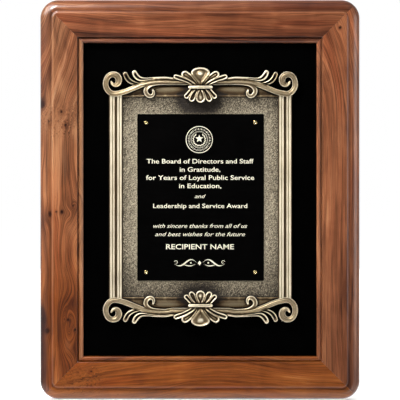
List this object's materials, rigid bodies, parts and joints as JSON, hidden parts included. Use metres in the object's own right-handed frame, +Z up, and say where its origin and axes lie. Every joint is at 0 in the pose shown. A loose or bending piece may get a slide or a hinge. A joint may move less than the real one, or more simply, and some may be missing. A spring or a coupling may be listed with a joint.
{
  "type": "wooden plaque",
  "caption": "Rectangular walnut wall plaque with a mitred moulded frame, black velour panel, ornate antique bronze casting and a black engraving plate.",
  "frame": {"origin": "hook point of the keyhole hanger, in the wall plane: centred on the width, 16 mm below the top edge", "axes": "+Z up the plaque's height, +X to the viewer's right when facing the front, +Y towards the wall, so the front faces -Y"},
  "size_m": [0.3048, 0.0262, 0.381],
  "materials": {
    "walnut": "satin lacquer over oiled walnut",
    "maple_spline": "unfinished",
    "fibreboard": "raw medium density fibreboard",
    "black_velour": "short pile velour",
    "antique_bronze": "antique bronze plating, dark in the recesses and buffed on the high points",
    "black_plate": "black lacquered brass, satin",
    "polished_brass": "polished",
    "zinc_steel": "bright zinc plated",
    "rubber": "matt"
  },
  "bodies": {
    "plaque": {"top_rail": "walnut", "bottom_rail": "walnut", "left_stile": "walnut", "right_stile": "walnut", "corner_spline_tl": "maple_spline", "corner_spline_tr": "maple_spline", "corner_spline_bl": "maple_spline", "corner_spline_br": "maple_spline", "backing_board": "fibreboard", "velour_cover": "black_velour", "casting": "antique_bronze", "name_plate": "black_plate", "escutcheon_pin_1": "polished_brass", "escutcheon_pin_2": "polished_brass", "escutcheon_pin_3": "polished_brass", "escutcheon_pin_4": "polished_brass", "casting_washer_1": "zinc_steel", "casting_screw_1": "zinc_steel", "casting_washer_2": "zinc_steel", "casting_screw_2": "zinc_steel", "casting_washer_3": "zinc_steel", "casting_screw_3": "zinc_steel", "casting_washer_4": "zinc_steel", "casting_screw_4": "zinc_steel", "button_screw_1": "zinc_steel", "button_screw_2": "zinc_steel", "button_screw_3": "zinc_steel", "button_screw_4": "zinc_steel", "keyhole_hanger": "zinc_steel", "hanger_screw_1": "zinc_steel", "hanger_screw_2": "zinc_steel", "bumper_1": "rubber", "bumper_2": "rubber", "bumper_3": "rubber", "bumper_4": "rubber"},
    "button_1": {"turn_button_1": "zinc_steel"},
    "button_2": {"turn_button_2": "zinc_steel"},
    "button_3": {"turn_button_3": "zinc_steel"},
    "button_4": {"turn_button_4": "zinc_steel"}
  },
  "joints": [
    {"name": "button_1_turn", "type": "hinge", "parent": "plaque", "child": "button_1", "pos_m": [-0.1274, -0.00215, -0.0745], "axis": [0, 1, 0], "continuous": true},
    {"name": "button_2_turn", "type": "hinge", "parent": "plaque", "child": "button_2", "pos_m": [0.1274, -0.00215, -0.0745], "axis": [0, 1, 0], "continuous": true},
    {"name": "button_3_turn", "type": "hinge", "parent": "plaque", "child": "button_3", "pos_m": [-0.1274, -0.00215, -0.2745], "axis": [0, 1, 0], "continuous": true},
    {"name": "button_4_turn", "type": "hinge", "parent": "plaque", "child": "button_4", "pos_m": [0.1274, -0.00215, -0.2745], "axis": [0, 1, 0], "continuous": true}
  ]
}
